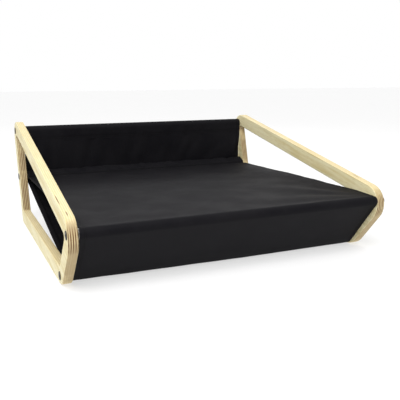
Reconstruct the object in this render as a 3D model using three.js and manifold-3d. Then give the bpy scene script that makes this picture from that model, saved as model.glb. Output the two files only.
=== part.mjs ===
// Low dog bed: two plywood side frames joined by four metal cross rails, with a
// fabric back panel and a fabric seat cover stretched round the rails.
// Millimetres, +Z up, +X is the bed's right-hand side, the open front faces -Y.

import * as THREE from 'three';
import * as BufferGeometryUtils from 'three/addons/utils/BufferGeometryUtils.js';
import Module from 'manifold-3d';

const wasm = await Module();
wasm.setup();

// ---- Driving dimensions ----

const INNER_WIDTH = 620; // between the inner faces of the side frames
const PLY_THICKNESS = 18;
const BAND_WIDTH = 32.5; // width of the frame's bars
const PLY_ARRIS = 1.2; // rounding of the sanded plywood edges
const CONTACT_GAP = 0.3; // clearance kept between touching pieces

// Sharp outer corners of a side frame, seen from the side as (y, z), with the
// radius that each is rounded to on its outside and on the inside of the opening.
const FRAME_CORNERS = [
  { y: 71, z: 264, outerRadius: 40, innerRadius: 7 }, // top of the rear leg
  { y: -621, z: 128.5, outerRadius: 39, innerRadius: 7 }, // front corner
  { y: -511, z: 0, outerRadius: 44, innerRadius: 6 }, // front foot
  { y: 0, z: 0, outerRadius: 18, innerRadius: 7 }, // rear foot
];

// Axes of the cross rails, in the same side view.
const RAILS = {
  top_rear: { y: 30, z: 229.5 },
  seat_rear: { y: 16, z: 114.5 },
  front_upper: { y: -576.5, z: 112 },
  front_lower: { y: -496.5, z: 16.5 },
};
const RAIL_RADIUS = 10;
const RAIL_WALL = 1.2;

const BOLT_HEAD_RADIUS = 8;
const BOLT_HEAD_HEIGHT = 1.1;
const BOLT_HEAD_ARRIS = 0.4;
const BOLT_SHANK_RADIUS = 3;
const BOLT_REACH = 16; // how far the shank enters the rail
const SOCKET_ACROSS_FLATS = 4;
const SOCKET_DEPTH = 0.8;
const INSERT_LENGTH = 22;

const CLOTH = 1; // thickness of the coated fabric
const CLOTH_SIDE_GAP = 2; // between the cloth's edge and the plywood
const SEAM_AHEAD = 24; // from the seat-rear rail's axis forward to the sleeve's seam
const SEAM_RISE = 1.5; // how far the seam lies above that axis
const TOP_WRAP = 1.7 * Math.PI; // how far the back panel turns round the top rail

const ARC_STEPS = 12;
const ROUND_SIDES = 28;

// ---- Side view helpers, all in (y, z) ----

const UP = Math.PI / 2;
const DOWN = (3 * Math.PI) / 2;
const LEFT = 1;
const RIGHT = -1;
const point = (y, z) => new THREE.Vector2(y, z);
const along = (from, to) => to.clone().sub(from).normalize();

// Moves each side of a polygon inwards by a distance and returns the new corners.
function insetCorners(corners, distance) {
  const centre = corners.reduce((sum, c) => sum.add(c), point(0, 0)).divideScalar(corners.length);
  const sides = corners.map((corner, i) => {
    const direction = along(corner, corners[(i + 1) % corners.length]);
    const inward = point(-direction.y, direction.x);
    if (inward.dot(centre.clone().sub(corner)) < 0) inward.negate();
    return { start: corner.clone().addScaledVector(inward, distance), direction };
  });
  return sides.map((side, i) => {
    const before = sides.at(i - 1);
    const gap = side.start.clone().sub(before.start);
    const reach = gap.cross(side.direction) / before.direction.cross(side.direction);
    return before.start.clone().addScaledVector(before.direction, reach);
  });
}

// Points of an arc about a centre, from one angle to another.
function arcPoints(centre, radius, from, to, steps = ARC_STEPS) {
  return Array.from({ length: steps + 1 }, (_, i) => {
    const angle = from + ((to - from) * i) / steps;
    return point(centre.x + radius * Math.cos(angle), centre.y + radius * Math.sin(angle));
  });
}

// A polygon with each corner replaced by an arc of its own radius.
function roundedOutline(corners, radii) {
  return corners.flatMap((corner, i) => {
    const toBefore = along(corner, corners.at(i - 1));
    const toAfter = along(corner, corners[(i + 1) % corners.length]);
    const halfAngle = Math.acos(toBefore.dot(toAfter)) / 2;
    const bisector = toBefore.clone().add(toAfter).normalize();
    const centre = corner.clone().addScaledVector(bisector, radii[i] / Math.sin(halfAngle));
    const tangent = radii[i] / Math.tan(halfAngle);
    const start = corner.clone().addScaledVector(toBefore, tangent).sub(centre).angle();
    const end = corner.clone().addScaledVector(toAfter, tangent).sub(centre).angle();
    const turn = Math.atan2(Math.sin(end - start), Math.cos(end - start));
    return arcPoints(centre, radii[i], start, start + turn);
  });
}

// The closed outline of a sheet of cloth, seen edge-on, whose middle follows a path.
function sheetOutline(path, thickness) {
  const side = (sign) => path.map((p, i) => {
    const direction = along(path[Math.max(i - 1, 0)], path[Math.min(i + 1, path.length - 1)]);
    return point(p.x - sign * direction.y * thickness / 2, p.y + sign * direction.x * thickness / 2);
  });
  return [...side(1), ...side(-1).reverse()];
}

// Points of an arc that turns one way only, with its centre on the given side.
function sweep(centre, radius, from, to, side) {
  const turn = THREE.MathUtils.euclideanModulo(side * (to - from), 2 * Math.PI);
  return arcPoints(centre, radius, from, from + side * turn);
}

// The angles at which a straight stretch of cloth leaves one round and meets the
// next, given on which side of its travel each round lies.
function tangentAngles(from, to, fromRadius, toRadius, fromSide, toSide) {
  const span = to.clone().sub(from);
  const lean = Math.asin((fromSide * fromRadius - toSide * toRadius) / span.length());
  const direction = span.angle() + lean;
  return { leave: direction - fromSide * Math.PI / 2, meet: direction - toSide * Math.PI / 2 };
}

// ---- Solids ----

// Extrudes a side view along X, centred on x = 0.
function extrudeAcross(outline, holes, width, arris = 0) {
  const shape = new THREE.Shape(outline);
  shape.holes = holes.map((hole) => new THREE.Path(hole));
  const geometry = new THREE.ExtrudeGeometry(shape, {
    depth: width - 2 * arris,
    steps: 1,
    bevelEnabled: arris > 0,
    bevelSize: arris,
    bevelOffset: -arris,
    bevelThickness: arris,
    bevelSegments: 1,
  });
  geometry.translate(0, 0, -(width - 2 * arris) / 2);
  // The shape's x, y and depth become the bed's y, z and x.
  geometry.applyMatrix4(new THREE.Matrix4().set(0, 0, 1, 0, 1, 0, 0, 0, 0, 1, 0, 0, 0, 0, 0, 1));
  return geometry;
}

// A solid of revolution about the X axis, from (x, radius) points.
function turnedAboutX(profile) {
  const points = profile.map(([x, radius]) => new THREE.Vector2(radius, x));
  const geometry = new THREE.LatheGeometry(points, ROUND_SIDES);
  geometry.rotateZ(-Math.PI / 2);
  return geometry;
}

function toManifold(geometry) {
  const bare = geometry.clone();
  bare.deleteAttribute('normal');
  bare.deleteAttribute('uv');
  const merged = BufferGeometryUtils.mergeVertices(bare, 1e-4);
  return new wasm.Manifold(new wasm.Mesh({
    numProp: 3,
    vertProperties: new Float32Array(merged.attributes.position.array),
    triVerts: new Uint32Array(merged.index.array),
  }));
}

function fromManifold(solid) {
  const mesh = solid.getMesh();
  const geometry = new THREE.BufferGeometry();
  geometry.setAttribute('position', new THREE.BufferAttribute(mesh.vertProperties, 3));
  geometry.setIndex(new THREE.BufferAttribute(mesh.triVerts, 1));
  geometry.computeVertexNormals();
  return geometry;
}

function cutAway(body, cutter) {
  return fromManifold(toManifold(body).subtract(toManifold(cutter)));
}

// ---- Materials ----

const finish = (color, roughness, metalness) =>
  new THREE.MeshStandardMaterial({ color, roughness, metalness });
const birchPlywood = finish(0xe6dcb8, 0.55, 0);
const railMetal = finish(0xa9a7a2, 0.35, 0.9);
const boltSteel = finish(0x3b3731, 0.45, 0.8);
const insertSteel = finish(0x8d8b86, 0.45, 0.9);
const blackCloth = finish(0x2c2b2d, 0.75, 0);

// ---- Assembly ----

const bed = new THREE.Group();

// The model's origin is under the middle of the side frames' depth.
const frameCorners = FRAME_CORNERS.map((c) => point(c.y, c.z));
const frameOutline = roundedOutline(frameCorners, FRAME_CORNERS.map((c) => c.outerRadius));
const depths = frameOutline.map((p) => p.x);
const heights = frameOutline.map((p) => p.y);
bed.position.set(0, -(Math.max(...depths) + Math.min(...depths)) / 2, -Math.min(...heights));

function addPiece(name, geometry, material, x = 0, y = 0, z = 0) {
  const mesh = new THREE.Mesh(geometry, material);
  mesh.name = name;
  mesh.position.set(x, y, z);
  bed.add(mesh);
  return mesh;
}

function addSideFrames() {
  const openingRadii = FRAME_CORNERS.map((c) => c.innerRadius);
  const opening = roundedOutline(insetCorners(frameCorners, BAND_WIDTH), openingRadii);
  const boltHoles = Object.values(RAILS).map((rail) =>
    arcPoints(point(rail.y, rail.z), BOLT_SHANK_RADIUS + CONTACT_GAP, 0, 2 * Math.PI, ROUND_SIDES)
      .slice(0, -1));
  const x = (INNER_WIDTH + PLY_THICKNESS) / 2;
  for (const [side, sign] of [['left', -1], ['right', 1]]) {
    const geometry = extrudeAcross(frameOutline, [opening, ...boltHoles], PLY_THICKNESS, PLY_ARRIS);
    addPiece(`${side}_side_frame`, geometry, birchPlywood, sign * x);
  }
}

function addRail(name, rail) {
  const half = INNER_WIDTH / 2 - CONTACT_GAP;
  const bore = RAIL_RADIUS - RAIL_WALL;
  const profile = [[-half, bore], [-half, RAIL_RADIUS], [half, RAIL_RADIUS], [half, bore], [-half, bore]];
  addPiece(`${name}_rail`, turnedAboutX(profile), railMetal, 0, rail.y, rail.z);
}

// A threaded plug pressed into the end of a rail.
function insertGeometry() {
  const outer = RAIL_RADIUS - RAIL_WALL - CONTACT_GAP;
  const bore = BOLT_SHANK_RADIUS + CONTACT_GAP;
  const lead = 1;
  return turnedAboutX([
    [0, bore], [0, outer], [INSERT_LENGTH - lead, outer],
    [INSERT_LENGTH, outer - lead], [INSERT_LENGTH, bore], [0, bore],
  ]);
}

// A flat-headed bolt with a hexagon socket; its head seats at x = 0 and its
// shank runs towards +X.
function boltGeometry() {
  const rim = BOLT_HEAD_HEIGHT - BOLT_HEAD_ARRIS;
  const tip = PLY_THICKNESS + BOLT_REACH;
  const body = turnedAboutX([
    [-BOLT_HEAD_HEIGHT, 0], [-BOLT_HEAD_HEIGHT, BOLT_HEAD_RADIUS - BOLT_HEAD_ARRIS],
    [-rim, BOLT_HEAD_RADIUS], [0, BOLT_HEAD_RADIUS], [0, BOLT_SHANK_RADIUS],
    [tip - 1, BOLT_SHANK_RADIUS], [tip, BOLT_SHANK_RADIUS - 1], [tip, 0],
  ]);
  const socketRadius = SOCKET_ACROSS_FLATS / Math.sqrt(3);
  const socket = new THREE.CylinderGeometry(socketRadius, socketRadius, 2 * SOCKET_DEPTH, 6);
  socket.rotateZ(Math.PI / 2);
  socket.translate(-BOLT_HEAD_HEIGHT, 0, 0);
  return cutAway(body, socket);
}

function addRailsAndFasteners() {
  const insert = insertGeometry();
  const bolt = boltGeometry();
  for (const [name, rail] of Object.entries(RAILS)) {
    addRail(name, rail);
    for (const [side, sign] of [['left', -1], ['right', 1]]) {
      const turn = sign > 0 ? Math.PI : 0;
      const plug = addPiece(`${name}_insert_${side}`, insert, insertSteel,
        sign * (INNER_WIDTH / 2 - CONTACT_GAP), rail.y, rail.z);
      plug.rotation.z = turn;
      const screw = addPiece(`${name}_bolt_${side}`, bolt, boltSteel,
        sign * (INNER_WIDTH / 2 + PLY_THICKNESS + CONTACT_GAP), rail.y, rail.z);
      screw.rotation.z = turn;
    }
  }
}

// ---- Fabric: plain sheets that follow the rails ----

const axisOf = (rail) => point(rail.y, rail.z);
const clothWidth = INNER_WIDTH - 2 * CLOTH_SIDE_GAP;
const firstLayer = RAIL_RADIUS + CONTACT_GAP + CLOTH / 2; // cloth lying on a rail
const layerStep = CLOTH + CONTACT_GAP; // from one layer of cloth to the next

function addCloth(name, path) {
  addPiece(name, extrudeAcross(sheetOutline(path, CLOTH), [], clothWidth), blackCloth);
}

// From the back of the top rail over it, then down behind the seat-rear rail
// and under it, outside the seat's sleeve.
function addBackPanel() {
  const top = axisOf(RAILS.top_rear);
  const rear = axisOf(RAILS.seat_rear);
  const secondLayer = firstLayer + layerStep;
  const run = tangentAngles(top, rear, firstLayer, secondLayer, LEFT, RIGHT);
  addCloth('back_panel', [
    ...sweep(top, firstLayer, run.leave - TOP_WRAP, run.leave, LEFT),
    ...sweep(rear, secondLayer, run.meet, DOWN, RIGHT),
  ]);
}

// A sleeve round the seat-rear rail, closed at the seam, then the seat itself
// as far as the top of the front upper rail.
function addSeatPanel() {
  const rear = axisOf(RAILS.seat_rear);
  const front = axisOf(RAILS.front_upper);
  const seamTop = point(rear.x - SEAM_AHEAD, rear.y + SEAM_RISE);
  const seamUnder = point(seamTop.x, seamTop.y - layerStep);
  const under = tangentAngles(seamUnder, rear, 0, firstLayer, LEFT, LEFT);
  const over = tangentAngles(rear, seamTop, firstLayer, 0, LEFT, LEFT);
  addCloth('seat_panel', [
    seamUnder,
    ...sweep(rear, firstLayer, under.meet, over.leave, LEFT),
    seamTop,
    point(front.x, front.y + firstLayer),
  ]);
}

// From the top of the front upper rail down and under the front lower rail.
function addFrontPanel() {
  const upper = axisOf(RAILS.front_upper);
  const lower = axisOf(RAILS.front_lower);
  const run = tangentAngles(upper, lower, firstLayer, firstLayer, LEFT, LEFT);
  const endGap = CONTACT_GAP / firstLayer;
  addCloth('front_panel', [
    ...sweep(upper, firstLayer, UP + endGap, run.leave, LEFT),
    ...sweep(lower, firstLayer, run.meet, DOWN - endGap, LEFT),
  ]);
}

// From under the front lower rail back up to the wrapped seat-rear rail.
function addUnderPanel() {
  const lower = axisOf(RAILS.front_lower);
  const rear = axisOf(RAILS.seat_rear);
  const run = tangentAngles(lower, rear, firstLayer, firstLayer + 2 * layerStep, LEFT, LEFT);
  const start = arcPoints(lower, firstLayer, run.leave, run.leave, 1)[0];
  const end = arcPoints(rear, firstLayer + 2 * layerStep, run.meet, run.meet, 1)[0];
  addCloth('under_panel', [start, end]);
}

addSideFrames();
addRailsAndFasteners();
addBackPanel();
addSeatPanel();
addFrontPanel();
addUnderPanel();

export default bed;
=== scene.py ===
"""A low dog bed: plywood side frames, steel cross rails and taut black cloth.

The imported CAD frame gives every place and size. This script adds the cloth,
its hems and stitching, the materials, a floor, lights and the camera.
Metres, +Z up, the open front faces -Y.
"""

import bisect
import math
from typing import NamedTuple

import bpy
from mathutils import Euler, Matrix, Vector, noise


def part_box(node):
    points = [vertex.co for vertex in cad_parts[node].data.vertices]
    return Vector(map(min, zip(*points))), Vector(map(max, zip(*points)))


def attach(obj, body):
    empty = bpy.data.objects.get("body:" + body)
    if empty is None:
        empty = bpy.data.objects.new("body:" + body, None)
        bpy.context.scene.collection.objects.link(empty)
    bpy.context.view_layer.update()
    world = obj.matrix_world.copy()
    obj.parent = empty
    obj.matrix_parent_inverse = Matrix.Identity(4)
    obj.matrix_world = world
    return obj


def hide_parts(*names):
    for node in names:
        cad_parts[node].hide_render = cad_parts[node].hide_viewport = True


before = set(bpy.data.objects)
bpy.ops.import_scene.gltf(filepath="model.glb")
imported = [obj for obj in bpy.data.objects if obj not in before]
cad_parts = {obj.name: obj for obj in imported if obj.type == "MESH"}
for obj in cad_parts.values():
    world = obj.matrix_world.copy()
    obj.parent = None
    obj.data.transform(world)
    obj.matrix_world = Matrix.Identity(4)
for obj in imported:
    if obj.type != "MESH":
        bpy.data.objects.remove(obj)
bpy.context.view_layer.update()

MM = 0.001
TINY = 0.01 * MM
RAIL_NAMES = ("top_rear", "seat_rear", "front_upper", "front_lower")
SIDES = ("left", "right")
LEFT, RIGHT = 1, -1  # which side of its path a rail is on
DOWN = 1.5 * math.pi
FULL_TURN = 2 * math.pi

# ---- Cloth sizes ----
CLOTH = 0.6 * MM  # thickness of the coated fabric
LAYER = 1.3 * MM  # from one layer of cloth to the next
ON_RAIL = 0.8 * MM  # from a rail's surface to the middle of the cloth on it
SIDE_GAP = 1.4 * MM  # from the cloth's edge to the plywood
HEM = 12 * MM
HEM_FOLD = 0.55 * MM  # radius of the folded edge
STITCH_LINE = 9.5 * MM  # from the cloth's edge to the hem's stitching
SEAM_AHEAD = 24 * MM  # from the seat-rear rail's centre to the sleeve's seam
SEAM_RISE = 1.5 * MM
SEAT_ROWS = (2.2 * MM, 7.2 * MM)  # stitching on the seat, from the sleeve's seam
BACK_SEAM = 10 * MM  # how far the seam of the back's sleeve is below the top rail
FLAP = 16 * MM  # how far the back cover's flap hangs below the top rail
FLAP_GAP = 0.4 * MM
TAIL_SHORT = 2 * MM  # from the back cover's end to the sleeve's seam
TAIL_DROP = 0.2 * MM
STITCH = 3.6 * MM  # from one stitch to the next
STITCH_SHARE = 0.78  # the part of that which the thread covers
STITCH_END = 2 * MM  # from the cloth's end to the first stitch
THREAD = 0.32 * MM  # radius of the thread
WEAVE_PITCH = 0.9 * MM  # two of the cloth's ribs

# ---- Mesh steps ----
HEM_STEPS = 4
NEAR_EDGE = (2.5, 4.5, 6.5, 8.2, 9.5, 10.8, 12.5, 15, 19, 24)  # mm from the edge
COLUMN_STEP = 6.5 * MM
SLEEVE_STEP, SEAT_STEP, UNDER_STEP, BACK_STEP = 3 * MM, 6 * MM, 9 * MM, 4 * MM
PAST_SEAM = 0.004  # a row just past the sleeve's seam, as a share of the seat
THREAD_SIDES = 6
THREAD_GIRTH = ((0.0, 0.35), (0.18, 0.9), (0.5, 1.0), (0.82, 0.9), (1.0, 0.35))

# ---- How the cloth sags ----
HEM_DENT, HEM_DENT_REACH = 0.35 * MM, 1.3 * MM
PUCKER_FADE = (20 * MM, 5 * MM)  # from the cloth's edge
SLEEVE_LOOSE = 2.0 * MM
SEAT_SAG = 3.0 * MM
EDGE_CURL = 2.5 * MM  # the seat's side edges turn up
CURL_ACROSS = (0.84, 1.0)  # where, from the middle to an edge
CURL_RISE, CURL_FALL = (0.1, 0.6), (1.0, 0.9)  # and from the sleeve to the front
SEAM_DIP = 1.6 * MM
SEAM_DIP_REACH = 7 * MM
RIGHT_FAN, LEFT_FAN = 3.6 * MM, 3.0 * MM  # height of the folds from the front corners
RIGHT_FAN_SEED, LEFT_FAN_SEED = 5.9, 2.7
FRONT_HOLLOW = 1.0 * MM
UNDER_SAG = 4.0 * MM
FLATTER = 0.6  # how much less the front and under panels sag at their sides
SLACK = 2.4 * MM  # how far the cloth hangs off the front lower rail
SLACK_TILT = 1.4 * MM  # more to the right, and less to the left
SLACK_MIDDLE = 1.2 * MM  # more in the middle
ROLL_PULL, BACK_PULL = 0.006, 0.0005  # how far tight cloth draws in, by its half width
BACK_DENT, BACK_DENT_REACH = 0.5 * MM, 1.5 * MM

# ---- Painted shade in the grooves of seams and hems, from 0 to 1 ----
HEM_SHADE, HEM_SHADE_REACH = 0.6, 1.5 * MM
SEAT_SHADE, BACK_SHADE = 1.0, 0.3
SEAM_SHADE_REACH = 4.5 * MM

# ---- Folds that spread from a corner ----
FAN_RISE = (20 * MM, 140 * MM)  # where they grow, from the corner
FAN_FALL = (420 * MM, 160 * MM)
FAN_EDGE = 60 * MM
FAN_SPREAD = 3.8  # waves for each radian round the corner
FAN_LENGTH = 300 * MM


class Waves(NamedTuple):
    """Smooth uneven waves in the cloth."""

    height: float
    seed: float
    wide: float  # their size across the cloth
    long: float  # and along it
    lean: float = 0.0  # how far they slant across


PUCKERS = Waves(0.35 * MM, 7.3, 20 * MM, 7 * MM)  # along the side hems
GATHERS = Waves(3.4 * MM, 1.7, 26 * MM, 11 * MM, 0.6)  # in the sleeve
SEAT_WAVES = Waves(2.2 * MM, 3.1, 170 * MM, 70 * MM, 0.5)
SEAM_FOLDS = Waves(1.0 * MM, 8.2, 22 * MM, 60 * MM, 0.4)  # just ahead of the sleeve
FRONT_WAVES = Waves(0.9 * MM, 2.4, 80 * MM, 120 * MM, 0.2)
LOW_WAVES = Waves(0.5 * MM, 4.6, 45 * MM, 20 * MM)  # round the front lower rail
UNDER_WAVES = Waves(1.6 * MM, 6.6, 110 * MM, 60 * MM, 0.4)
BACK_FOLDS = Waves(4.8 * MM, 4.2, 28 * MM, 150 * MM, 0.12)
RIGHT_FOLDS = Waves(6.0 * MM, 9.1, 26 * MM, 110 * MM, 0.45)  # the back's right half

# ---- Plywood ----
PLIES = 9
GRAIN_TILT = math.radians(11)  # slope of the top bars, which the grain follows
GAP_DEPTH = 1.3 * MM
VENEER_GAPS = (  # centre, and half its length along the bar
    ((-0.3245, -0.224, 0.1545), 0.026),
    ((-0.3205, -0.285, 0.1425), 0.011),
    ((0.3201, -0.236, 0.152), 0.015),
)

# ---- CAD meshes ----
SHARP = math.radians(50)  # edges that bend more than this stay sharp
WELD = 0.02 * MM

# ---- Camera, light and floor ----
LENS, SENSOR = 51.6, 36
CAMERA_PLACE = (-0.4995, -1.224, 0.3693)
CAMERA_DOWN, CAMERA_TURN = 12.36, -24.24  # degrees below level, and round from +Y
DIM_SIDE = (0.0, -1.0, 0.0)  # the studio is darker on this side
DIM = 0.5
DIM_FROM, DIM_TO = -0.25, 0.4
LAMP_TARGET = (0, 0, 0.1)
LAMPS = (  # name, place, width and height, watts
    ("key", (-0.8, -1.25, 2.0), (1.4, 1.4), 54),
    ("behind", (0.8, 2.3, 1.4), (1.8, 0.5), 4.8),
)
FLOOR_REACH = 12.0


# ---- Side view geometry, all in (y, z) ----

def rail_axis(name):
    """The rail's centre as (y, z), and its radius."""
    low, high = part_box(f"{name}_rail")
    return Vector(((low.y + high.y) / 2, (low.z + high.z) / 2)), (high.z - low.z) / 2


def on_circle(centre, radius, angle):
    return centre + radius * Vector((math.cos(angle), math.sin(angle)))


def sweep(centre, radius, start, end, side, step=math.radians(10)):
    """Points of an arc that turns one way, with its centre on the given side."""
    turn = side * (end - start) % FULL_TURN
    count = max(2, math.ceil(turn / step))
    return [on_circle(centre, radius, start + side * turn * i / count) for i in range(count + 1)]


def tangent(start, end, start_radius, end_radius, start_side, end_side):
    """Angles at which straight cloth leaves one round and meets the next."""
    span = end - start
    lean = math.asin((start_side * start_radius - end_side * end_radius) / span.length)
    direction = math.atan2(span.y, span.x) + lean
    return direction - start_side * math.pi / 2, direction - end_side * math.pi / 2


def fill_straights(points, spacing):
    """The same path with long straight steps cut into short ones."""
    path = [points[0]]
    for a, b in zip(points, points[1:]):
        length = (b - a).length
        if length < 1e-6:
            continue
        count = max(1, round(length / spacing))
        path += [a.lerp(b, i / count) for i in range(1, count + 1)]
    return path


def path_lengths(path):
    """How far along the path each of its points is."""
    lengths = [0.0]
    for a, b in zip(path, path[1:]):
        lengths.append(lengths[-1] + (b - a).length)
    return lengths


# ---- Shapes that the cloth is displaced by ----

def smoothstep(low, high, value):
    t = min(1.0, max(0.0, (value - low) / (high - low)))
    return t * t * (3 - 2 * t)


def bell(distance, reach):
    """1 at no distance, falling smoothly to nearly 0 at twice the reach."""
    return math.exp(-((distance / reach) ** 2))


def hump(t):
    """0 at both ends of a panel and 1 in its middle."""
    return math.sin(math.pi * min(1, t))


def ripple(x, along, waves):
    """Where the waves are between -1 and 1, at a point of the cloth."""
    u = (x + waves.lean * along) / waves.wide
    v = (along - waves.lean * x) / waves.long
    return noise.noise(Vector((u, v, waves.seed)))


def fan(ahead, inward, seed):
    """Tension folds that spread from a corner, given the distances from it."""
    reach = math.hypot(ahead, inward)
    swell = smoothstep(*FAN_RISE, reach) * smoothstep(*FAN_FALL, reach)
    angle = math.atan2(inward, abs(ahead) + TINY)
    held = smoothstep(0, FAN_EDGE, inward)
    return swell * held * noise.noise(Vector((FAN_SPREAD * angle, reach / FAN_LENGTH, seed)))


def hem_relief(x, along):
    """The dent of the hem's stitching, and the small puckers round it."""
    from_edge = half_width - abs(x)
    dent = bell(from_edge - STITCH_LINE, HEM_DENT_REACH)
    near = smoothstep(*PUCKER_FADE, from_edge)
    return -HEM_DENT * dent + PUCKERS.height * near * ripple(x, along, PUCKERS)


# ---- Building cloth from a path ----

def columns():
    """Steps across a strip of cloth: (x, drop below the face), hem folds included."""
    fold = half_width - HEM_FOLD
    side = [(half_width - HEM + HEM * i / HEM_STEPS, 2 * HEM_FOLD) for i in range(HEM_STEPS)]
    side += [
        (fold + HEM_FOLD * math.cos(a), HEM_FOLD - HEM_FOLD * math.sin(a))
        for a in (math.radians(-90 + 45 * i) for i in range(5))
    ]
    side += [(half_width - d * MM, 0.0) for d in NEAR_EDGE]
    inner = side[-1][0]
    count = round(2 * inner / COLUMN_STEP)
    middle = [(-inner + 2 * inner * i / count, 0.0) for i in range(1, count)]
    return [(-x, drop) for x, drop in side] + middle + side[::-1]


class Cloth:
    """A strip of cloth that follows a side-view path, displaced by a shape.

    shape(x, along) gives the outward shift and the pull towards the middle.
    seams are (place along the path, strength of the shade painted into its groove)
    for each seam or hem that runs across.
    """

    def __init__(self, path, shape, seams):
        self.path = path
        self.shape = shape
        self.seams = seams
        self.lengths = path_lengths(path)
        self.normals = []
        for i in range(len(path)):
            run = (path[min(i + 1, len(path) - 1)] - path[max(i - 1, 0)]).normalized()
            self.normals.append(Vector((run.y, -run.x)))

    def at(self, x, along, out=0.0):
        """The point of the cloth's middle layer at (x, along), moved outwards."""
        i = min(bisect.bisect_right(self.lengths, along), len(self.path) - 1)
        before, after = self.lengths[i - 1], self.lengths[i]
        t = (along - before) / (after - before)
        normal = self.normals[i - 1].lerp(self.normals[i], t).normalized()
        lift, pull = self.shape(x, along)
        place = self.path[i - 1].lerp(self.path[i], t) + normal * (lift + out)
        return Vector((x * (1 - pull), place.x, place.y))

    def painted_seam_shade(self, x, along):
        """Painted shade: 1 in the groove of a seam or hem, falling to 0 on the open cloth."""
        shade = [HEM_SHADE * bell(half_width - abs(x) - STITCH_LINE, HEM_SHADE_REACH)]
        for place, depth in self.seams:
            shade.append(depth * bell(along - place, SEAM_SHADE_REACH))
        return max(shade)

    def build(self, name):
        """A mesh of the cloth with its thickness and its folded side hems."""
        across = columns()
        verts, where, painted_shade = [], [], []
        for layer in (0.5, -0.5):
            for along in self.lengths:
                for x, drop in across:
                    turned_under = drop > HEM_FOLD * 1.01
                    face = layer * CLOTH * (-1 if turned_under else 1)
                    verts.append(self.at(x, along, face - drop))
                    where += [x, along, drop]
                    painted_shade.append(self.painted_seam_shade(x, along))
        piece = add_mesh(name, verts, closed_strip(len(self.path), len(across)))
        weave = piece.data.attributes.new("weave", "FLOAT_VECTOR", "POINT")
        weave.data.foreach_set("vector", where)
        # the painted shade of the seam and hem grooves, for the cloth's colour
        seam = piece.data.attributes.new("seam", "FLOAT", "POINT")
        seam.data.foreach_set("value", painted_shade)
        return piece

    def sew(self, name, places):
        """Its thread: a row along each side hem, and one across at each place."""
        hem_x = half_width - STITCH_LINE
        last = self.lengths[-1] - STITCH_END
        rows = [stitch_line((x, STITCH_END), (x, last)) for x in (-hem_x, hem_x)]
        rows += [stitch_line((-hem_x, along), (hem_x, along)) for along in places]
        return stitches(name, self, rows)


def closed_strip(rows, wide):
    """Faces of two layers of rows by wide points, joined round their rim."""
    sheet = wide * rows
    faces = []
    for i in range(rows - 1):
        for j in range(wide - 1):
            a = i * wide + j
            top = (a, a + 1, a + wide + 1, a + wide)
            faces += [top, tuple(sheet + k for k in reversed(top))]
        for j in (0, wide - 1):
            a, b = i * wide + j, (i + 1) * wide + j
            rim = (a, b, sheet + b, sheet + a)
            faces.append(rim if j == 0 else rim[::-1])
    for j in range(wide - 1):
        for i in (0, rows - 1):
            a = i * wide + j
            rim = (a, sheet + a, sheet + a + 1, a + 1)
            faces.append(rim if i == 0 else rim[::-1])
    return faces


def add_mesh(name, verts, faces):
    mesh = bpy.data.meshes.new(name)
    mesh.from_pydata(verts, [], faces)
    mesh.shade_smooth()
    piece = bpy.data.objects.new(name, mesh)
    bpy.context.scene.collection.objects.link(piece)
    return piece


def stitch_line(start, end):
    """Needle points from one (x, along) to another, one stitch length apart."""
    count = max(1, round(math.dist(start, end) / STITCH))
    return [tuple(s + (e - s) * i / count for s, e in zip(start, end)) for i in range(count + 1)]


def stitches(name, cloth, rows):
    """Runs of short thread stitches sunk into the cloth, between needle points."""
    verts, faces = [], []
    for line in rows:
        for (x0, a0), (x1, a1) in zip(line, line[1:]):
            a = cloth.at(x0, a0, CLOTH / 2)
            b = cloth.at(x0 + (x1 - x0) * STITCH_SHARE, a0 + (a1 - a0) * STITCH_SHARE, CLOTH / 2)
            run = (b - a).normalized()
            up = (cloth.at(x0, a0, CLOTH) - cloth.at(x0, a0, 0)).normalized()
            across = run.cross(up)
            first_vert = len(verts)
            for t, girth in THREAD_GIRTH:
                rise = THREAD * (0.55 * math.sin(math.pi * t) - 0.1)
                centre = a.lerp(b, t) + up * rise
                for k in range(THREAD_SIDES):
                    angle = FULL_TURN * k / THREAD_SIDES
                    around = across * math.cos(angle) + up * math.sin(angle)
                    verts.append(centre + around * (THREAD * girth))
            faces += closed_tube(first_vert, len(THREAD_GIRTH), THREAD_SIDES)
    return add_mesh(name, verts, faces)


def closed_tube(first_vert, rings, sides):
    """Faces of a tube through rings of points, with a cap on each end."""
    faces = []
    for i in range(rings - 1):
        ring, after = first_vert + i * sides, first_vert + (i + 1) * sides
        for k in range(sides):
            turn = (k + 1) % sides
            faces.append((ring + k, ring + turn, after + turn, after + k))
    last = first_vert + (rings - 1) * sides
    faces.append([first_vert + k for k in reversed(range(sides))])
    faces.append([last + k for k in range(sides)])
    return faces


# ---- Places taken from the frame ----
top_axis, rail_radius = rail_axis("top_rear")
rear_axis, _ = rail_axis("seat_rear")
upper_axis, _ = rail_axis("front_upper")
lower_axis, _ = rail_axis("front_lower")
inner_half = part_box("right_side_frame")[0].x
half_width = inner_half - SIDE_GAP
first = rail_radius + ON_RAIL  # from a rail's centre to the first layer on it
seam_top = rear_axis + Vector((-SEAM_AHEAD, SEAM_RISE))


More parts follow.
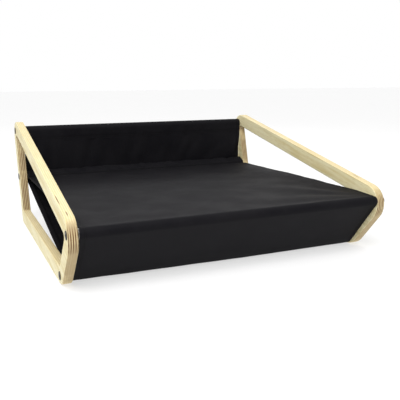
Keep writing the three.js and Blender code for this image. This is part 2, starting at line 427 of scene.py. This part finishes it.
def seat_cover():
    """One loop of cloth: sleeve, seat, front and under panels, with its stitching."""
    seam_under = seam_top - Vector((0, LAYER))
    _, meet = tangent(seam_under, rear_axis, 0, first, LEFT, LEFT)
    leave, _ = tangent(rear_axis, seam_top, first, 0, LEFT, LEFT)
    sleeve = [seam_under] + sweep(rear_axis, first, meet, leave, LEFT) + [seam_top]
    _, meet = tangent(seam_top, upper_axis, 0, first, LEFT, LEFT)
    leave, down = tangent(upper_axis, lower_axis, first, first, LEFT, LEFT)
    over = sweep(upper_axis, first, meet, leave, LEFT)
    outer = first + 2 * LAYER
    away, arrive = tangent(lower_axis, rear_axis, first, outer, LEFT, LEFT)
    below = sweep(lower_axis, first, down, away, LEFT)
    end = on_circle(rear_axis, outer, arrive)
    path = fill_straights(sleeve, SLEEVE_STEP)
    seat_start = path_lengths(path)[-1]
    past_seam = seam_top.lerp(over[0], PAST_SEAM)
    path += [past_seam] + fill_straights([past_seam, over[0]], SEAT_STEP)[1:]
    roll_start = path_lengths(path)[-1]
    path += over[1:]
    front_start = path_lengths(path)[-1]
    path += fill_straights([over[-1], below[0]], SEAT_STEP)[1:] + below[1:]
    under_start = path_lengths(path)[-1]
    path += fill_straights([below[-1], end], UNDER_STEP)[1:]
    total = path_lengths(path)[-1]

    def sleeve_shape(x, along):
        edge = smoothstep(0, 0.12, along / seat_start)
        free = smoothstep(0, 9 * MM, seat_start - along)
        return edge * (SLEEVE_LOOSE + GATHERS.height * ripple(x, along, GATHERS) * free)

    def seat_shape(x, along):
        side = x / half_width
        t = (along - seat_start) / (roll_start - seat_start)
        crown = hump(t)
        lift = -SEAT_SAG * crown * (1 - side * side)
        curl = smoothstep(*CURL_ACROSS, abs(side))
        lift += EDGE_CURL * smoothstep(*CURL_RISE, t) * smoothstep(*CURL_FALL, t) * curl
        lift += SEAT_WAVES.height * crown * ripple(x, along, SEAT_WAVES)
        lift += RIGHT_FAN * fan(roll_start - along, half_width - x, RIGHT_FAN_SEED)
        lift -= LEFT_FAN * fan(roll_start - along, half_width + x, LEFT_FAN_SEED)
        lift -= SEAM_DIP * bell(along - seat_start, SEAM_DIP_REACH)
        return lift + SEAM_FOLDS.height * bell(t, 0.06) * ripple(x, along, SEAM_FOLDS)

    def slack(side):
        """How far the cloth hangs off the front lower rail, side from -1 to 1."""
        return SLACK + SLACK_TILT * side + SLACK_MIDDLE * bell(side, 0.5)

    def front_shape(x, along):
        side = x / half_width
        t = (along - front_start) / (under_start - front_start)
        crown = hump(t)
        lift = -FRONT_HOLLOW * crown * (1 - FLATTER * side * side)
        lift += FRONT_WAVES.height * crown * ripple(x, along, FRONT_WAVES)
        low = smoothstep(0.55, 0.85, t)
        lift += LOW_WAVES.height * low * ripple(x, along, LOW_WAVES)
        return lift + slack(side) * min(1.0, t / 0.8)

    def under_shape(x, along):
        side = x / half_width
        t = (along - under_start) / (total - under_start)
        crown = hump(t)
        near = smoothstep(0.12, 0.0, t)
        lift = near * (slack(side) + LOW_WAVES.height * ripple(x, along, LOW_WAVES))
        lift += UNDER_SAG * crown * (1 - FLATTER * side * side)
        return lift + UNDER_WAVES.height * crown * ripple(x, along, UNDER_WAVES)

    def shape(x, along):
        lift = hem_relief(x, along)
        if along < seat_start:
            lift += sleeve_shape(x, along)
        elif along < roll_start:
            lift += seat_shape(x, along)
        elif along >= under_start:
            lift += under_shape(x, along)
        elif along >= front_start:
            lift += front_shape(x, along)
        return lift, ROLL_PULL * bell(along - roll_start, 5 * MM)

    cloth = Cloth(path, shape, [(seat_start + 2 * MM, SEAT_SHADE)])
    thread_rows = [seat_start + ahead for ahead in SEAT_ROWS]
    return cloth.build("seat_cover"), cloth.sew("seat_cover_stitches", thread_rows), total


def back_cover():
    """The back panel, sleeved over the top rail and under the seat-rear rail."""
    second = first + LAYER
    leave, meet = tangent(top_axis, rear_axis, first, second, LEFT, RIGHT)
    front = on_circle(top_axis, first, leave)
    flap = front + Vector((LAYER + FLAP_GAP, -(rail_radius + FLAP)))
    _, onto = tangent(flap, top_axis, 0, first, LEFT, LEFT)
    around = [flap] + sweep(top_axis, first, onto, leave, LEFT)
    tail_start = on_circle(rear_axis, second, DOWN)
    tail = Vector((seam_top.x + TAIL_SHORT, tail_start.y + TAIL_DROP))
    path = fill_straights(around, BACK_STEP)
    panel_start = path_lengths(path)[-1]
    roll = sweep(rear_axis, second, meet, DOWN, RIGHT)
    path += fill_straights([around[-1], roll[0]], BACK_STEP)[1:]
    panel_end = path_lengths(path)[-1]
    path += roll[1:] + fill_straights([roll[-1], tail], BACK_STEP)[1:]
    hem_seam = panel_start + rail_radius + BACK_SEAM

    def shape(x, along):
        t = min(1, max(0, (along - panel_start) / (panel_end - panel_start)))
        crown = hump(t)
        right = smoothstep(-0.1, 0.6, x / half_width)
        lift = hem_relief(x, along)
        lift += BACK_FOLDS.height * crown * ripple(x, along, BACK_FOLDS)
        lift += RIGHT_FOLDS.height * crown * right * ripple(x, along, RIGHT_FOLDS)
        lift -= BACK_DENT * bell(along - hem_seam, BACK_DENT_REACH)
        return lift, BACK_PULL * crown

    cloth = Cloth(path, shape, [(hem_seam, BACK_SHADE)])
    length = cloth.lengths[-1]
    return cloth.build("back_cover"), cloth.sew("back_cover_stitches", [hem_seam]), length


# ---- Colours ----

def srgb(red, green, blue):
    """A colour from 0-255 screen values, as linear light."""
    return tuple(
        v / 12.92 if v <= 0.04045 else ((v + 0.055) / 1.055) ** 2.4
        for v in (red / 255, green / 255, blue / 255)
    )


VENEER, VENEER_FIGURE = srgb(227, 219, 182), srgb(208, 193, 142)
VENEER_CLOUD, VENEER_PORE = srgb(220, 207, 156), srgb(190, 166, 112)
EDGE, EDGE_STREAK, EDGE_SPECK = srgb(244, 233, 190), srgb(222, 202, 142), srgb(204, 180, 126)
END_GRAIN, GLUE = srgb(184, 150, 88), srgb(140, 104, 60)
# the first is brown patches on the edges, mostly painted shade where they face the front
# the second is painted shade inside the open veneer gaps
EDGE_BROWN_AND_SHADE, GAP_PAINTED_SHADE = srgb(104, 70, 38), srgb(96, 62, 36)
CLOTH_DEEP, CLOTH_FADED = srgb(18, 17, 21), srgb(25, 24, 27)
# the last of these colours is painted shade, for the grooves of seams and hems
CLOTH_CROSSING, CLOTH_SLUB, CLOTH_PAINTED_SHADE = srgb(14, 14, 15), srgb(36, 35, 37), srgb(6, 6, 7)
THREAD_DARK, THREAD_PALE = srgb(9, 9, 10), srgb(24, 23, 25)
RAIL, RAIL_DULL = srgb(150, 146, 138), srgb(108, 104, 98)
BOLT, BOLT_DULL = srgb(74, 68, 61), srgb(44, 40, 36)
INSERT, INSERT_DULL = srgb(170, 167, 160), srgb(120, 116, 110)
FLOOR_DARK, FLOOR_PALE = (0.38, 0.38, 0.38), (0.4, 0.4, 0.4)
WHITE = (1, 1, 1, 1)


# ---- Materials ----

class Nodes:
    """A few short calls for building a material's node tree."""

    def __init__(self, name):
        self.material = bpy.data.materials.new(name)
        self.material.use_nodes = True
        self.tree = self.material.node_tree
        self.shader = self.tree.nodes["Principled BSDF"]

    def add(self, kind, **settings):
        node = self.tree.nodes.new(kind)
        for key, value in settings.items():
            setattr(node, key, value)
        return node

    def link(self, source, target):
        self.tree.links.new(source, target)

    def put(self, value, socket):
        if isinstance(value, bpy.types.NodeSocket):
            self.link(value, socket)
        else:
            socket.default_value = value

    def place(self):
        """Where on the object the surface is, in metres."""
        return self.add("ShaderNodeTexCoord").outputs["Object"]

    def attribute(self, name, output):
        return self.add("ShaderNodeAttribute", attribute_name=name).outputs[output]

    def parts(self, vector):
        node = self.add("ShaderNodeSeparateXYZ")
        self.link(vector, node.inputs[0])
        return node.outputs

    def maths(self, operation, a, b=0.0, c=0.0, clamp=False):
        node = self.add("ShaderNodeMath", operation=operation, use_clamp=clamp)
        for socket, value in zip(node.inputs, (a, b, c)):
            self.put(value, socket)
        return node.outputs[0]

    def times(self, a, b):
        return self.maths("MULTIPLY", a, b)

    def size_of(self, value):
        return self.maths("ABSOLUTE", value)

    def vector_maths(self, operation, a, b=(0, 0, 0), output="Vector"):
        node = self.add("ShaderNodeVectorMath", operation=operation)
        for socket, value in zip(node.inputs, (a, b)):
            self.put(value, socket)
        return node.outputs[output]

    def noise(self, vector, scale, detail, roughness=0.5):
        """Noise with scale waves a metre, a number or one for each axis."""
        if isinstance(scale, tuple):
            vector, scale = self.vector_maths("MULTIPLY", vector, scale), 1.0
        node = self.add("ShaderNodeTexNoise")
        self.put(vector, node.inputs["Vector"])
        node.inputs["Scale"].default_value = scale
        node.inputs["Detail"].default_value = detail
        node.inputs["Roughness"].default_value = roughness
        return node.outputs[0]

    def ramp(self, value, low, high, to_low=0.0, to_high=1.0):
        """A smooth step from to_low at low to to_high at high."""
        node = self.add("ShaderNodeMapRange", interpolation_type="SMOOTHSTEP")
        for socket, number in zip(node.inputs, (value, low, high, to_low, to_high)):
            self.put(number, socket)
        return node.outputs[0]

    def mix(self, factor, a, b):
        """From colour a to colour b, each an RGB triple or a socket."""
        node = self.add("ShaderNodeMix", data_type="RGBA")
        self.put(factor, node.inputs["Factor"])
        for socket, value in ((node.inputs[6], a), (node.inputs[7], b)):
            self.put(value if isinstance(value, bpy.types.NodeSocket) else (*value, 1.0), socket)
        return node.outputs[2]

    def bump(self, height, strength, distance):
        node = self.add("ShaderNodeBump")
        node.inputs["Strength"].default_value = strength
        node.inputs["Distance"].default_value = distance
        self.put(height, node.inputs["Height"])
        return node.outputs[0]

    def finish(self, color, roughness, normal=None, **plain):
        """Sets the shader's inputs. plain ones are the same all over the surface."""
        for value, key in ((color, "Base Color"), (roughness, "Roughness"), (normal, "Normal")):
            if value is not None:
                self.put(value, self.shader.inputs[key])
        for key, value in plain.items():
            self.shader.inputs[key.replace("_", " ")].default_value = value
        return self.material


def veneer_color(n, grain, figure, pores):
    """The face veneer: long faint figure that runs with the top bar, and pores."""
    cloud = n.noise(grain, 9.0, detail=2.0)
    color = n.mix(n.ramp(figure, 0.35, 0.7), VENEER, VENEER_FIGURE)
    color = n.mix(n.ramp(cloud, 0.35, 0.75, 0.0, 0.4), color, VENEER_CLOUD)
    return n.mix(n.ramp(pores, 0.55, 0.7, 0.0, 0.6), color, VENEER_PORE)


def edge_color(n, coords, facing, specks):
    """The cut edges: plies with their grain crossed in turn, saw marks and gaps."""
    wavy = n.noise(coords, (0, 14, 14), detail=2.0)
    low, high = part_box("right_side_frame")
    depth = n.maths("SUBTRACT", n.size_of(n.parts(coords)[0]), low.x)
    depth = n.maths("MULTIPLY_ADD", wavy, 0.4 * MM, depth)
    layer = n.maths("MULTIPLY_ADD", depth, PLIES / (high.x - low.x), -0.5)
    phase = n.maths("PINGPONG", layer, 1.0)
    upright = n.ramp(phase, 0.42, 0.58)
    glue = n.ramp(n.size_of(n.maths("SUBTRACT", phase, 0.5)), 0.03, 0.16, 0.35, 0.0)

    # A ply shows its end grain where its grain runs into the cut.
    level = n.size_of(facing[2])
    level_end = n.times(n.maths("SUBTRACT", 1.0, upright), n.maths("SUBTRACT", 1.0, level))
    upright_end = n.times(upright, n.times(level, 0.45))
    end_grain = n.maths("ADD", level_end, upright_end, clamp=True)
    streaks = n.noise(coords, (1400, 24, 24), detail=3.0, roughness=0.6)
    color = n.mix(n.ramp(streaks, 0.35, 0.7, 0.0, 0.6), EDGE, EDGE_STREAK)
    color = n.mix(n.ramp(specks, 0.35, 0.75, 0.0, 0.35), color, EDGE_SPECK)
    color = n.mix(n.times(end_grain, 0.75), color, END_GRAIN)
    color = n.mix(glue, color, GLUE)

    # Brown patches on the edges: faint all round, and strong on edges that face the front (-Y),
    # as at the front and the feet, where the brown is painted shade for the dimmer light from
    # the front.
    brown_patches = n.noise(coords, 18.0, detail=3.0, roughness=0.6)
    front = n.ramp(n.times(facing[1], -1.0), 0.4, 0.9)
    striped = n.maths("MULTIPLY_ADD", end_grain, 0.85, 0.22)
    brown_and_shade_weight = n.maths("MULTIPLY_ADD", front, striped, 0.1)
    brown_and_shade = n.maths("MULTIPLY", n.ramp(brown_patches, 0.2, 0.55), brown_and_shade_weight, clamp=True)
    color = n.mix(brown_and_shade, color, EDGE_BROWN_AND_SHADE)

    # A few open veneer gaps in the edges of the top bars, with no depth: their dark brown is
    # painted shade inside them.
    for centre, reach in VENEER_GAPS:
        away = n.vector_maths("SUBTRACT", coords, centre)
        scaled = n.vector_maths("MULTIPLY", away, (1 / GAP_DEPTH, 1 / reach, 1 / (0.5 * reach)))
        size = n.vector_maths("LENGTH", scaled, output="Value")
        color = n.mix(n.ramp(size, 0.5, 1.2, 0.8, 0.0), color, GAP_PAINTED_SHADE)
    return color


def plywood():
    """Birch plywood: pale veneer on the faces, laminations round the edges."""
    n = Nodes("birch_plywood")
    coords = n.place()
    facing = n.parts(n.add("ShaderNodeNewGeometry").outputs["Normal"])
    on_edge = n.ramp(n.size_of(facing[0]), 0.55, 0.8, 1.0, 0.0)
    turned = n.add("ShaderNodeMapping")
    n.link(coords, turned.inputs["Vector"])
    turned.inputs["Rotation"].default_value = (-GRAIN_TILT, 0, 0)
    grain = turned.outputs[0]
    figure = n.noise(grain, (60, 7, 110), detail=5.0, roughness=0.65)
    pores = n.noise(grain, (900, 45, 900), detail=2.0, roughness=0.6)
    specks = n.noise(coords, (900, 300, 300), detail=3.0, roughness=0.7)
    veneer = veneer_color(n, grain, figure, pores)
    color = n.mix(on_edge, veneer, edge_color(n, coords, facing, specks))
    height = n.maths("ADD", n.times(pores, 0.5), n.times(specks, on_edge))
    rough = n.ramp(figure, 0.3, 0.7, 0.5, 0.62)
    relief = n.bump(height, strength=0.25, distance=0.3 * MM)
    return n.finish(color, rough, relief, Specular_IOR_Level=0.35)


def black_cloth():
    """Coated plain-weave polyester: near black, slight sheen, fine crossed ribs."""
    n = Nodes("black_cloth")
    weave = n.attribute("weave", "Vector")
    across, along, _ = n.parts(weave)
    warp = n.maths("SINE", n.times(across, FULL_TURN / WEAVE_PITCH))
    weft = n.maths("SINE", n.times(along, FULL_TURN / WEAVE_PITCH))
    threads = n.maths("MULTIPLY_ADD", n.times(warp, weft), 0.5, 0.5)
    slub = n.noise(weave, (40, 900, 1), detail=2.0)
    cloud = n.noise(weave, (14, 14, 0), detail=4.0, roughness=0.6)
    color = n.mix(n.ramp(cloud, 0.3, 0.7), CLOTH_DEEP, CLOTH_FADED)
    color = n.mix(n.ramp(threads, 0.0, 1.0, 0.0, 0.35), color, CLOTH_CROSSING)
    color = n.mix(n.ramp(slub, 0.6, 0.8, 0.0, 0.25), color, CLOTH_SLUB)
    # darkens the grooves of seams and hems: painted shade
    color = n.mix(n.times(n.attribute("seam", "Fac"), 0.75), color, CLOTH_PAINTED_SHADE)
    height = n.maths("MULTIPLY_ADD", slub, 0.4, threads)
    rough = n.ramp(cloud, 0.3, 0.7, 0.58, 0.7)
    relief = n.bump(height, strength=0.35, distance=0.15 * MM)
    return n.finish(
        color, rough, relief, Specular_IOR_Level=0.06, Sheen_Weight=0.01, Sheen_Roughness=0.45
    )


def thread():
    """Black polyester sewing thread, twisted."""
    n = Nodes("sewing_thread")
    twist = n.noise(n.place(), 3000.0, detail=1.0)
    color = n.mix(twist, THREAD_DARK, THREAD_PALE)
    rough = n.ramp(twist, 0.3, 0.7, 0.45, 0.6)
    relief = n.bump(twist, strength=0.4, distance=0.1 * MM)
    return n.finish(color, rough, relief, Specular_IOR_Level=0.12)


def metal(name, base, dark, roughness, streaks):
    """Drawn or turned steel with fine streaks and small dull patches."""
    n = Nodes(name)
    coords = n.place()
    drawn = n.noise(coords, streaks, detail=4.0, roughness=0.6)
    patch = n.noise(coords, 60.0, detail=3.0, roughness=0.6)
    color = n.mix(n.ramp(drawn, 0.35, 0.7), base, dark)
    color = n.mix(n.ramp(patch, 0.5, 0.75, 0.0, 0.4), color, dark)
    rough = n.ramp(patch, 0.3, 0.7, roughness - 0.07, roughness + 0.1)
    relief = n.bump(drawn, strength=0.15, distance=0.1 * MM)
    return n.finish(color, rough, relief, Metallic=1.0)


def pale_floor():
    n = Nodes("studio_floor")
    cloud = n.noise(n.place(), 3.0, detail=2.0)
    color = n.mix(cloud, FLOOR_DARK, FLOOR_PALE)
    return n.finish(color, 0.9, Emission_Color=WHITE, Emission_Strength=0.6)


# ---- Carried-over CAD nodes ----

def smooth_group(limit):
    """Geometry nodes that shade smoothly except over edges sharper than limit."""
    tree = bpy.data.node_groups.new("smooth_curves", "GeometryNodeTree")
    for direction in ("INPUT", "OUTPUT"):
        tree.interface.new_socket(
            "Geometry", in_out=direction, socket_type="NodeSocketGeometry"
        )
    start = tree.nodes.new("NodeGroupInput")
    end = tree.nodes.new("NodeGroupOutput")
    faces = tree.nodes.new("GeometryNodeSetShadeSmooth")
    edges = tree.nodes.new("GeometryNodeSetShadeSmooth")
    edges.domain = "EDGE"
    edges.inputs["Shade Smooth"].default_value = False
    angle = tree.nodes.new("GeometryNodeInputMeshEdgeAngle")
    compare = tree.nodes.new("FunctionNodeCompare")
    compare.operation = "GREATER_THAN"
    compare.inputs[1].default_value = limit
    tree.links.new(start.outputs[0], faces.inputs["Geometry"])
    tree.links.new(faces.outputs[0], edges.inputs["Geometry"])
    tree.links.new(angle.outputs["Unsigned Angle"], compare.inputs[0])
    tree.links.new(compare.outputs[0], edges.inputs["Selection"])
    tree.links.new(edges.outputs[0], end.inputs[0])
    return tree


def dress(node, material, smooth):
    """Gives a CAD node its material and smooth shading on its curves."""
    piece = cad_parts[node]
    piece.data.materials.clear()
    piece.data.materials.append(material)
    piece.modifiers.new("weld", "WELD").merge_threshold = WELD
    piece.modifiers.new("smooth", "NODES").node_group = smooth
    piece.modifiers.new("flat_faces", "WEIGHTED_NORMAL").keep_sharp = True


# ---- Set, lights and camera ----

def place_camera():
    data = bpy.data.cameras.new("camera")
    data.sensor_width = SENSOR
    data.lens = LENS
    camera = bpy.data.objects.new("camera", data)
    camera.location = CAMERA_PLACE
    camera.rotation_euler = Euler((math.radians(90 - CAMERA_DOWN), 0, math.radians(CAMERA_TURN)))
    bpy.context.scene.collection.objects.link(camera)
    bpy.context.scene.camera = camera


def area_light(name, place, size, power):
    data = bpy.data.lights.new(name, "AREA")
    data.shape = "RECTANGLE"
    data.size, data.size_y = size
    data.energy = power
    lamp = bpy.data.objects.new(name, data)
    lamp.location = place
    towards = Vector(LAMP_TARGET) - Vector(place)
    lamp.rotation_euler = towards.to_track_quat("-Z", "Y").to_euler()
    bpy.context.scene.collection.objects.link(lamp)


def light_studio():
    """A white surround that dims towards the front, and two lamps."""
    world = bpy.data.worlds.new("studio")
    world.use_nodes = True
    tree = world.node_tree
    background = tree.nodes["Background"]
    background.inputs["Color"].default_value = WHITE
    toward = tree.nodes.new("ShaderNodeVectorMath")
    toward.operation = "DOT_PRODUCT"
    toward.inputs[1].default_value = DIM_SIDE
    direction = tree.nodes.new("ShaderNodeTexCoord").outputs["Generated"]
    tree.links.new(direction, toward.inputs[0])
    fade = tree.nodes.new("ShaderNodeMapRange")
    fade.interpolation_type = "SMOOTHSTEP"
    for socket, number in zip(fade.inputs[1:5], (DIM_FROM, DIM_TO, 1.0, DIM)):
        socket.default_value = number
    tree.links.new(toward.outputs["Value"], fade.inputs["Value"])
    tree.links.new(fade.outputs[0], background.inputs["Strength"])
    bpy.context.scene.world = world
    for lamp in LAMPS:
        area_light(*lamp)
    bpy.context.scene.view_settings.view_transform = "Standard"


def lay_floor():
    mesh = bpy.data.meshes.new("floor")
    corners = [
        (x * FLOOR_REACH, y * FLOOR_REACH, 0) for x, y in ((-1, -1), (1, -1), (1, 1), (-1, 1))
    ]
    mesh.from_pydata(corners, [], [(0, 1, 2, 3)])
    floor = bpy.data.objects.new("floor", mesh)
    floor.data.materials.append(pale_floor())
    bpy.context.scene.collection.objects.link(floor)


# ---- Build ----
place_camera()
light_studio()
lay_floor()

smooth = smooth_group(SHARP)
wood = plywood()
rail_steel = metal("rail_steel", RAIL, RAIL_DULL, 0.34, (20, 900, 900))
bolt_steel = metal("bolt_steel", BOLT, BOLT_DULL, 0.42, (600, 600, 600))
plug_steel = metal("plug_steel", INSERT, INSERT_DULL, 0.4, (600, 600, 600))
for side in SIDES:
    dress(f"{side}_side_frame", wood, smooth)
for rail in RAIL_NAMES:
    dress(f"{rail}_rail", rail_steel, smooth)
    for side in SIDES:
        dress(f"{rail}_insert_{side}", plug_steel, smooth)
        dress(f"{rail}_bolt_{side}", bolt_steel, smooth)

cloth_finish = black_cloth()
thread_finish = thread()
cover, cover_thread, cover_length = seat_cover()
back, back_thread, back_length = back_cover()
finishes = [(cover, cloth_finish), (back, cloth_finish)]
finishes += [(cover_thread, thread_finish), (back_thread, thread_finish)]
for piece, finish in finishes:
    piece.data.materials.append(finish)
    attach(piece, "root")
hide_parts("seat_panel", "front_panel", "under_panel")
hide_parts("back_panel")
